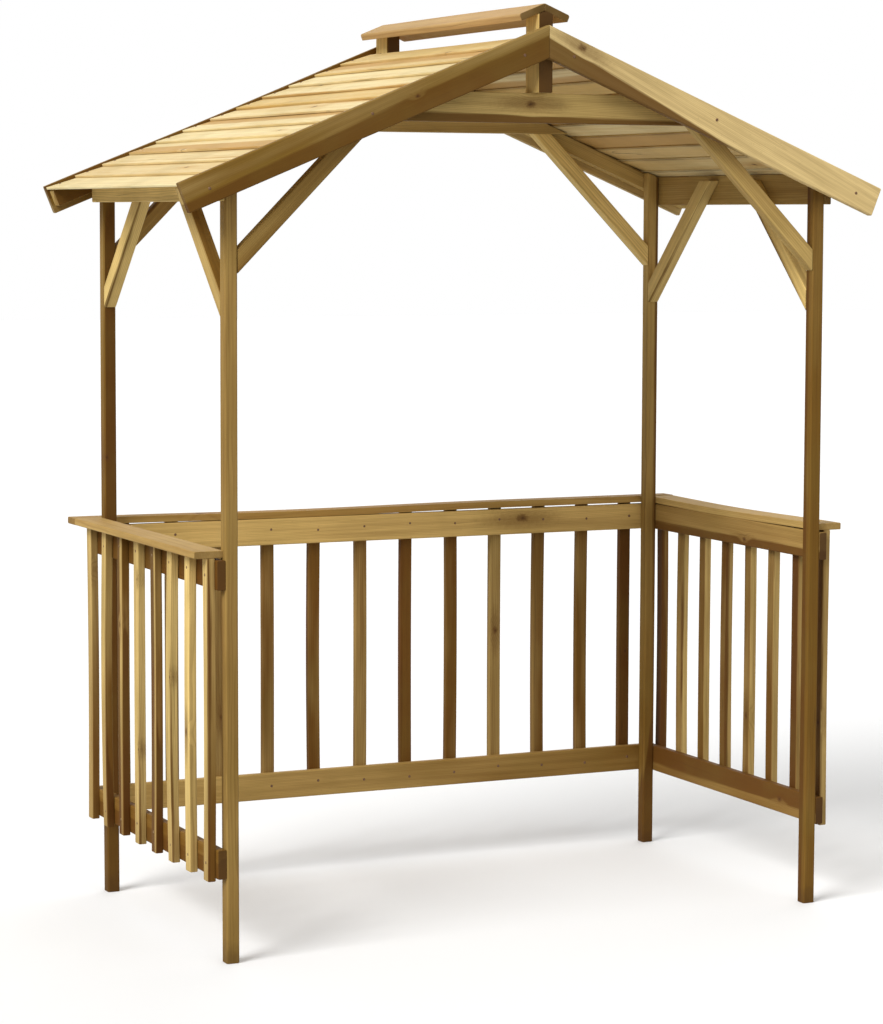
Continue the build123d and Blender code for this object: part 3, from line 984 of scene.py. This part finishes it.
@dataclass
class LappedRoof:
    """Lapped boards of both slopes, the two boards of the ridge cap and the side headers under the eaves.

    The boards come by chance from logs of the given tones, hearts and pith places. They are paler over the
    last few courses before the eave, take painted shade on their undersides that alternates from course to
    course and painted shade along each lap, and differ in the soil and painted shadow line on their butts.
    """

    board_slot: str = "roof_timber"
    cap_slot: str = "cap_timber"
    header_slot: str = "frame_timber"
    courses: int = 12
    tones: Pair = (0.0, 0.85)
    hearts: Pair = (0.0, 0.62)
    pith_sides: Pair = (-0.5, 0.5)
    pith_reach: Pair = (0.4, 1.2)
    pith_depths: Pair = (-0.5, 0.5)
    # Painted shade on the undersides, alternating from course to course, and painted shade along the laps.
    underside_shades: Pair = (0.12, 0.7)
    lap_shade: float = 0.85
    eave_fade: float = 5.0
    # Soil with a painted shadow line low on each butt, from least to most.
    butt_shadow_and_soil: Pair = (0.08, 0.95)
    skew: float = 0.0022
    knots: dict[str, dict[int, Triple]] = field(default_factory=lambda: {
        "left_roof_boards": {1: (0.26, 0.0, 0.006), 6: (0.37, 0.0, 0.007)},
        "right_roof_boards": {4: (0.6, 0.0, 0.007), 9: (0.3, 0.1, 0.006)},
    })
    caps: dict[str, Pick] = field(default_factory=lambda: {
        "left_cap_board": Pick(0.4, 0.3, (0.6, 0.4), end=1.0),
        "right_cap_board": Pick(0.4, 0.3, (-0.5, 0.4), end=1.0),
    })
    headers: dict[str, Pick] = field(default_factory=lambda: {
        "left_header": Pick(0.12, 0.1, (-0.6, 0.3)),
        "right_header": Pick(0.7, 0.2, (-0.5, 0.3), end=0.95),
    })

    def logs(self, name: str) -> list[Pick]:
        """Draws a log for each board of one slope.

        Args:
            name: seed for the chances.

        Returns:
            The picks, in order.
        """
        rng, count = chances(name), self.courses
        tones, hearts = rng.uniform(*self.tones, count), rng.uniform(*self.hearts, count)
        sides = rng.choice(self.pith_sides, count) * rng.uniform(*self.pith_reach, count)
        depths = rng.uniform(*self.pith_depths, count)
        drawn = np.stack([tones, hearts, sides, depths], axis=1).tolist()
        return [Pick(tone, heart, (side, depth)) for tone, heart, side, depth in drawn]

    def build(self, shop: Workshop) -> None:
        """Recuts the roof.

        Args:
            shop: the workshop.
        """
        underside_shade = np.resize(self.underside_shades, self.courses)
        paler = np.minimum(np.arange(1, self.courses + 1) / self.eave_fade, 1.0)
        low, high = self.butt_shadow_and_soil
        rng = chances("roof_boards")
        for node, knots in self.knots.items():
            logs = self.logs(node)
            butt_shadows = low + (high - low) * rng.uniform(0.0, 1.0, self.courses) ** 2
            skews = rng.normal(0.0, self.skew, self.courses)
            fades = paler if node.startswith("left") else paler[::-1]
            chosen = np.stack([fades, underside_shade, butt_shadows, skews], axis=1).tolist()
            # Each board takes painted shade on its underside, soil with a painted shadow line on its butt,
            # and painted shade at the lap.
            picks = [
                replace(
                    pick, tone=pick.tone * fade, shade=(0.0, 0.0, -under), edge=edge, lap=self.lap_shade,
                    skew=skew, knot=knots.get(i, pick.knot),
                )
                for i, (pick, (fade, under, edge, skew)) in enumerate(zip(logs, chosen))
            ]
            shop.replace(node, Grain.DEEP, self.board_slot, *picks)
        for slot, stock in ((self.cap_slot, self.caps), (self.header_slot, self.headers)):
            for node, pick in stock.items():
                shop.replace(node, Grain.DEEP, slot, pick)


@dataclass
class Braces:
    """Slanted braces of the gables and knee braces of the sides."""

    slot: str = "frame_timber"
    braces: dict[str, tuple[Grain, Pick]] = field(default_factory=lambda: {
        "front_left_brace": (Grain.LEFT_BRACE, Pick(0.8, 0.2, (-0.6, 0.2))),
        "front_right_brace": (Grain.RIGHT_BRACE, Pick(0.5, 0.15, (0.6, 0.2))),
        "back_left_brace": (Grain.LEFT_BRACE, Pick(0.85, 0.3, (0.6, 0.3))),
        "back_right_brace": (Grain.RIGHT_BRACE, Pick(0.0, 0.0, (-0.6, 0.3))),
        # Painted shade on the left front knee's face that looks to the front and up.
        "left_front_knee": (Grain.FRONT_KNEE, Pick(0.3, 0.0, (0.6, 0.3), shade=(0.0, -0.62, 0.62))),
        "left_back_knee": (Grain.BACK_KNEE, Pick(0.16, 0.2, (-0.6, 0.3))),
        "right_front_knee": (Grain.FRONT_KNEE, Pick(0.3, 0.2, (0.6, 0.3))),
        "right_back_knee": (Grain.BACK_KNEE, Pick(0.0, 0.1, (-0.6, 0.3))),
    })

    def build(self, shop: Workshop) -> None:
        """Recuts the braces."""
        for node, (grain, pick) in self.braces.items():
            shop.replace(node, grain, self.slot, pick)


@dataclass(frozen=True)
class SlatRow:
    """One row of slats, in order, with the marked knots by number.

    The log's centre is on either side of the slats by turns. A slat's painted shade grows with its tone.
    """

    tones: tuple[float, ...]
    hearts: tuple[float, ...]
    knots: dict[int, Triple]
    reading: Reading = Reading.Y
    shade: Triple = (0.0, 0.0, 0.0)
    fade: float = 0.0
    pith: Pair = (0.6, 0.3)
    shade_growth: Pair = (0.4, 1.2)
    bow: float = 0.0017

    def picks(self) -> list[Pick]:
        """Picks the slats' logs.

        Returns:
            The picks, in order.
        """
        least, growth = self.shade_growth
        made = []
        for i, (tone, heart) in enumerate(zip(self.tones, self.hearts)):
            side = self.pith[0] if i % 2 else -self.pith[0]
            shade = tuple(part * (least + growth * tone) for part in self.shade)
            pick = Pick(tone - self.fade / 2.0, heart, (side, self.pith[1]), fade=self.fade, bow=self.bow)
            made.append(replace(pick, shade=shade, knot=self.knots.get(i, pick.knot)))
        return made


@dataclass
class SlattedPanels:
    """Rails and slats of the two sides and the back, and the shelves on them."""

    rail_slot: str = "rail_timber"
    slat_slot: str = "slat_timber"
    shelf_slot: str = "shelf_timber"
    slats: dict[str, SlatRow] = field(default_factory=lambda: {
        "back_slats": SlatRow(
            (0.74, 0.82, 0.7, 0.95, 0.97, 0.8, 1.0, 0.96, 0.66, 0.92, 0.93, 1.0),
            (0.3, 0.3, 0.4, 0.2, 0.4, 0.1, 0.6, 0.5, 0.1, 0.3, 0.2, 2.0),
            {2: (0.3, 0.1, 0.005), 8: (0.55, 0.0, 0.006)}, Reading.X,
        ),
        # Painted shade: on the left slats' front edges, between the slats, and on the right slats' inner
        # faces, under the roof.
        "left_slats": SlatRow(
            (0.36, 0.14, 0.0, 0.5, 0.06, 0.6, 0.44, 0.38), (0.2, 0.1, 0.1, 0.9, 0.1, 0.6, 0.1, 0.2),
            {1: (0.44, 0.1, 0.006), 5: (0.7, 0.0, 0.005)}, shade=(0.0, -0.5, 0.0), fade=-0.4,
        ),
        "right_slats": SlatRow(
            (0.56, 0.66, 0.48, 0.46, 0.5, 0.5, 0.42, 0.95), (0.1, 0.3, 0.1, 0.2, 0.25, 0.1, 0.1, 1.2),
            {3: (0.3, 0.0, 0.006), 0: (0.35, -0.1, 0.006)}, shade=(-0.4, 0.0, 0.0),
        ),
    })
    rails: dict[str, Pick] = field(default_factory=lambda: {
        "back_top_rail": Pick(0.0, 0.1, (-0.75, 0.2), fade=0.14, knot=(0.745, 0.12, 0.010)),
        "back_bottom_rail": Pick(0.26, 0.1, (-0.75, 0.2), fade=0.6),
        # The right top rail's deep end soil is partly painted shade under the shelf.
        "right_top_rail": Pick(0.42, 0.56, (-0.78, -0.1), (0.1, 0.0), end=1.5, knot=(0.42, -0.26, 0.006)),
        "right_bottom_rail": Pick(0.72, 0.66, (0.5, -0.1), end=1.2, knot=(0.2, 0.0, 0.007)),
        # The left rails are dark heartwood all through as painted shade: they show between the slats, in the
        # shelf's shadow.
        "left_top_rail": Pick(1.0, 1.4, (-0.3, 0.3), end=0.8),
        "left_bottom_rail": Pick(0.95, 0.6, (-0.3, 0.3), end=0.8),
    })
    shelves: dict[str, Pick] = field(default_factory=lambda: {
        "left_shelf": Pick(0.18, 0.2, (0.7, 0.3)),
        "right_shelf": Pick(0.2, 0.1, (-0.7, 0.3), sag=(0.0042, 1.2)),
        "back_shelf": Pick(0.85, 0.25, (0.7, 0.3), sag=(0.004, 0.7), knot=(0.2, 0.0, 0.01)),
    })

    def build(self, shop: Workshop) -> None:
        """Recuts rails, slats and shelves.

        Args:
            shop: the workshop.
        """
        for node, pick in self.rails.items():
            shop.replace(node, Grain.ACROSS if "back" in node else Grain.DEEP, self.rail_slot, pick)
        for node, row in self.slats.items():
            shop.replace(node, Grain.UP, self.slat_slot, *row.picks(), reading=row.reading)
        for node, pick in self.shelves.items():
            shop.replace(node, Grain.ACROSS if "back" in node else Grain.DEEP, self.shelf_slot, pick)


@dataclass
class NailHeads:
    """Flat steel nail heads, driven where a board crosses what carries it.

    A rail's nails keep end_gap from its ends and stray from its middle line. A barge board's nails stand at
    shares of its run and at depths below its upper edge. A roof board's stand a short way up from its butt.
    """

    radius: float = 0.0036
    crown: float = 0.0014
    sunk: float = 0.0012
    rim_points: int = 10
    rings: int = 3
    end_gap: float = 0.02
    stray: Pair = (-0.004, 0.01)
    barge_shares: Triple = (0.07, 0.49, 0.92)
    barge_depths: Triple = (0.04, 0.026, 0.036)
    from_butt: float = 0.03
    roof_row: float = 0.43
    rusty: NailFinish = NailFinish("rusty_nails", (112, 82, 54), (92, 58, 32), 0.3)
    dull: NailFinish = NailFinish("dull_nails", (132, 102, 58), (106, 76, 40), 0.1)

    def build(self, shop: Workshop) -> None:
        """Drives the nails of the panels, the gables and the roof.

        Args:
            shop: the workshop, for the timbers' places.
        """
        rusty, dull = self.rusty.material(), self.dull.material()
        levels = ("top", "bottom")
        rails = [self.rail_row(shop, "back", level) for level in levels]
        slats = [self.rail_row(shop, side, level) for side in HANDS for level in levels]
        barges = [self.barge_row(end, side) for end in ("front", "back") for side in HANDS]
        roof = [row for side in HANDS for row in self.roof_rows(shop, side)]
        self.drive("rail_nails", rusty, rails)
        self.drive("slat_nails", dull, slats)
        self.drive("barge_nails", rusty, barges)
        self.drive("roof_nails", rusty, roof)

    def heads(self, centres: Array, facing: Array) -> tuple[Array, Faces]:
        """Low domes, all at once: the radius follows the sine of an angle, and the height its cosine.

        The first ring of each dome lies below the timber's surface, so that no light gets under the head.

        Args:
            centres: places of the heads on the timber.
            facing: the way each head looks, one row a head.

        Returns:
            Points of all the heads, and the corners and sizes of their faces.
        """
        upward = np.abs(facing[:, 2:]) > DIAGONAL
        side = unit(np.cross(facing, np.where(upward, Grain.DEEP.value, Grain.UP.value)))
        top = np.cross(facing, side)
        angle = np.linspace(np.pi / 2.0, np.pi / 8.0, self.rings)
        reach = np.concatenate([[1.0], np.sin(angle)]) * self.radius
        level = np.concatenate([[-self.sunk], np.cos(angle) * self.crown])
        turn = np.linspace(0.0, 2.0 * np.pi, self.rim_points, endpoint=False)[None, :, None]
        rim = np.cos(turn) * side[:, None, :] + np.sin(turn) * top[:, None, :]
        points = (
            centres[:, None, None, :]
            + reach[None, :, None, None] * rim[:, None]
            + level[None, :, None, None] * facing[:, None, None, :]
        )
        grid = np.arange(points.size // 3).reshape(points.shape[:3])
        return points.reshape(-1, 3), tube_faces(grid)

    def drive(self, name: str, material: Material, rows: list[NailRow]) -> None:
        """Makes one piece of all the heads in a sub-assembly.

        Args:
            name: name of the piece.
            material: the nails' finish.
            rows: places and facing of each row of nails.
        """
        centres = np.concatenate([places for places, _ in rows])
        facing = np.concatenate([np.tile(np.asarray(way, float), (len(places), 1)) for places, way in rows])
        piece = stand(name, *self.heads(centres, unit(facing)), material)
        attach(piece, "root")
        LOG.info("%s: %d heads", name, len(centres))

    def rail_row(self, shop: Workshop, side: str, level: str) -> NailRow:
        """Nails of the slats on a rail: on the back rails' inner face, and on the side slats' outer face.

        Args:
            shop: the workshop, for the slats' places.
            side: left, right or back.
            level: top or bottom.

        Returns:
            Places of the nails, one at each slat's middle, and the way they look.
        """
        low, high = np.asarray(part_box(f"{side}_{level}_rail"))
        axis = (Reading.X if side == "back" else Reading.Y).value
        slats = [board[:, axis] for board in shop.boards(f"{side}_slats")]
        spots = np.sort([float(slat.max() + slat.min()) / 2.0 for slat in slats])
        spots = spots[(spots > low[axis] + self.end_gap) & (spots < high[axis] - self.end_gap)]
        heights = (low[2] + high[2]) / 2.0 + chances(f"{side}{level}").uniform(*self.stray, len(spots))
        if side == "back":
            return np.column_stack([spots, np.full_like(spots, low[1]), heights]), (0.0, -1.0, 0.0)
        outer = HANDS[side] * np.abs(np.asarray(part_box(f"{side}_slats"))[:, 0]).max()
        return np.column_stack([np.full_like(spots, outer), spots, heights]), (HANDS[side], 0.0, 0.0)

    def barge_row(self, end: str, side: str) -> NailRow:
        """A few nails along a barge board, over the rafter behind it.

        Args:
            end: front or back.
            side: left or right.

        Returns:
            Places of the nails on the outer face, and the way they look.
        """
        low, high = np.asarray(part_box(f"{end}_{side}_barge"))
        across = np.asarray(self.barge_shares) * (high[0] - low[0])
        level = high[2] - across * math.tan(PITCH) - np.asarray(self.barge_depths) / math.cos(PITCH)
        face, outward = (low[1], -1.0) if end == "front" else (high[1], 1.0)
        places = np.column_stack([HANDS[side] * across, np.full_like(across, face), level])
        return places, (0.0, outward, 0.0)

    def roof_rows(self, shop: Workshop, side: str) -> list[NailRow]:
        """Nails at both ends of each roof board of a slope, on its upper face.

        The face goes from the butt's top to the thin edge's, and so gives the nails' height and tilt.

        Args:
            shop: the workshop, for the boards' places.
            side: left or right.

        Returns:
            Two rows of nails.
        """
        hand, thin_edge = HANDS[side], 0.0005
        slope = np.array([math.cos(PITCH), -math.sin(PITCH)])
        square = np.array([math.sin(PITCH), math.cos(PITCH)])
        corners = [np.abs(board)[:, [0, 2]] for board in shop.boards(f"{side}_roof_boards")]
        reach = [(corner @ slope, corner @ square) for corner in corners]
        runs = np.array([run.max() for run, _ in reach])
        tops = np.array([rise.max() for _, rise in reach])
        widths = np.array([np.ptp(run) for run, _ in reach])
        upper = np.array([rise[run < run.min() + thin_edge].max() for run, rise in reach])
        share = self.from_butt / widths
        lift = tops * (1.0 - share) + upper * share
        place = (runs - self.from_butt)[:, None] * slope + lift[:, None] * square
        tilt = PITCH - math.atan2(float((tops - upper).mean()), float(widths.mean()))
        way = (hand * math.sin(tilt), 0.0, math.cos(tilt))
        return [
            (np.column_stack([hand * place[:, 0], np.full_like(runs, y), place[:, 1]]), way)
            for y in (-self.roof_row, self.roof_row)
        ]


@dataclass
class Studio:
    """Pale floor, soft lamps, white surround and the camera at the photograph's viewing angle.

    A lamp has the direction towards it, its strength and its spread in degrees: a broad key from the upper
    left, a weak fill from the front and another from the back right.
    """

    focal_px: float = 3097.57
    height_px: int = 1024
    place: Triple = (-3.14296, -6.62933, 1.62568)
    yaw: float = 0.43738
    pitch: float = -0.09468
    roll: float = 0.00315
    sensor: float = 36.0
    sight: float = 200.0
    floor_half: float = 40.0
    paper: tuple[float, float, float, float] = (0.95, 0.95, 0.945, 1.0)
    ambient: float = 0.46
    bounce: float = 0.55
    lamp_distance: float = 4.0
    lamps: dict[str, tuple[Triple, float, float]] = field(default_factory=lambda: {
        "key_lamp": ((-0.74, -0.32, 0.6), 2.7, 30.0),
        "front_lamp": ((0.2, -0.9, 0.4), 0.45, 60.0),
        "back_lamp": ((0.6, 0.65, 0.45), 0.9, 60.0),
    })

    def build(self) -> None:
        """Sets floor, lamps, surround and camera."""
        self.lay_floor()
        self.hang_lamps()
        self.paint_surround()
        self.set_camera()

    def lay_floor(self) -> None:
        """A flat pale sheet under the posts: corners at plus and minus the half width.

        It is paper to what is seen, and a duller sheet to the light that it throws back.
        """
        material = bpy.data.materials.new("studio_paper")
        g = Graph.blank(material)
        sheet = g.mix(g.seen(), (self.bounce, self.bounce, self.bounce, 1.0), self.paper)
        shader = g.node("ShaderNodeBsdfDiffuse", Color=sheet)
        g.node("ShaderNodeOutputMaterial", Surface=shader.outputs[0])
        corners = np.array([(-1.0, -1.0, 0.0), (1.0, -1.0, 0.0), (1.0, 1.0, 0.0), (-1.0, 1.0, 0.0)])
        floor = stand("studio_floor", corners * self.floor_half, (np.arange(4), np.array([4])), material)

    def hang_lamps(self) -> None:
        """Hangs the lamps, each turned to the middle of the floor."""
        for name, (towards, strength, spread) in self.lamps.items():
            lamp = bpy.data.lights.new(name, "SUN")
            lamp.energy = strength
            lamp.angle = math.radians(spread)
            back = unit(np.asarray(towards))
            side = unit(np.cross(Grain.UP.value, back))
            self.place_rig(name, lamp, (side, np.cross(back, side), back, self.lamp_distance * back))

    def paint_surround(self) -> None:
        """White to the camera and to reflections, and a plain soft light to everything else."""
        world = bpy.data.worlds.new("studio_surround")
        g = Graph.blank(world)
        strength = g.math("MULTIPLY_ADD", g.seen(), 1.0 - self.ambient, self.ambient)
        sky = g.node("ShaderNodeBackground", Color=(1.0, 1.0, 1.0, 1.0), Strength=strength)
        g.node("ShaderNodeOutputWorld", Surface=sky.outputs[0])
        bpy.context.scene.world = world

    def set_camera(self) -> None:
        """Places the camera: yaw from straight back towards the right, then pitch, then roll."""
        level = math.cos(self.pitch)
        ahead = np.array([math.sin(self.yaw) * level, math.cos(self.yaw) * level, math.sin(self.pitch)])
        right = np.array([math.cos(self.yaw), -math.sin(self.yaw), 0.0])
        above = np.cross(right, ahead)
        side = math.cos(self.roll) * right + math.sin(self.roll) * above
        top = -math.sin(self.roll) * right + math.cos(self.roll) * above
        camera = bpy.data.cameras.new("studio_camera")
        camera.sensor_fit = "VERTICAL"
        camera.sensor_height = self.sensor
        camera.lens = self.focal_px * self.sensor / self.height_px
        camera.clip_end = self.sight
        made = self.place_rig("studio_camera", camera, (side, top, -ahead, np.asarray(self.place)))
        bpy.context.scene.camera = made

    @staticmethod
    def place_rig(
        name: str, data: bpy.types.Light | bpy.types.Camera, columns: tuple[Array, ...]
    ) -> Object:
        """Puts a lamp or the camera into the scene.

        Args:
            name: name of the object.
            data: the lamp or the camera.
            columns: its right, its upward and its backward axis, and its place.

        Returns:
            The object.
        """
        rows = np.eye(4)
        rows[:3] = np.stack(columns, axis=1)
        made = bpy.data.objects.new(name, data)
        made.matrix_world = Matrix(rows.tolist())
        bpy.context.scene.collection.objects.link(made)
        return made


FINISHES = (
    TimberFinish("post_timber", (200, 166, 98), (116, 84, 30), (92, 58, 18)),
    TimberFinish("frame_timber", (248, 215, 136), (128, 91, 33), (100, 66, 22)),
    TimberFinish(
        "barge_timber", (234, 205, 142), (126, 95, 36), (98, 64, 18),
        ring_depth=0.144, crack_depth=0.1, knot_share=0.02,
    ),
    TimberFinish(
        "roof_timber", (238, 223, 173), (210, 175, 102), (190, 150, 88),
        soil_and_shade=(92, 66, 34), ring_depth=0.216, streak_depth=0.33,
    ),
    TimberFinish("cap_timber", (204, 170, 116), (176, 140, 88), (142, 100, 58), soil_and_shade=(96, 72, 32)),
    TimberFinish("shelf_timber", (217, 184, 113), (158, 121, 60), (126, 86, 38)),
    TimberFinish(
        "rail_timber", (214, 178, 107), (122, 86, 31), (98, 62, 20), ring_depth=0.18, knot_share=0.0
    ),
    TimberFinish("slat_timber", (247, 214, 136), (110, 74, 25), (88, 53, 17)),
)


def main() -> None:
    """Builds the gazebo's sub-assemblies in order, lights them and notes the sizes."""
    logging.basicConfig(level=logging.INFO, format="%(name)s: %(message)s")
    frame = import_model()
    effects = TimberEffects()
    shop = Workshop(frame["nodes"], {finish.slot: finish.material(effects) for finish in FINISHES})
    for assembly in (CornerPosts(), GableFrames(), LappedRoof(), Braces(), SlattedPanels(), NailHeads()):
        assembly.build(shop)
    Studio().build()
    bpy.context.scene.view_settings.view_transform = "Standard"


if __name__ == "__main__":
    main()
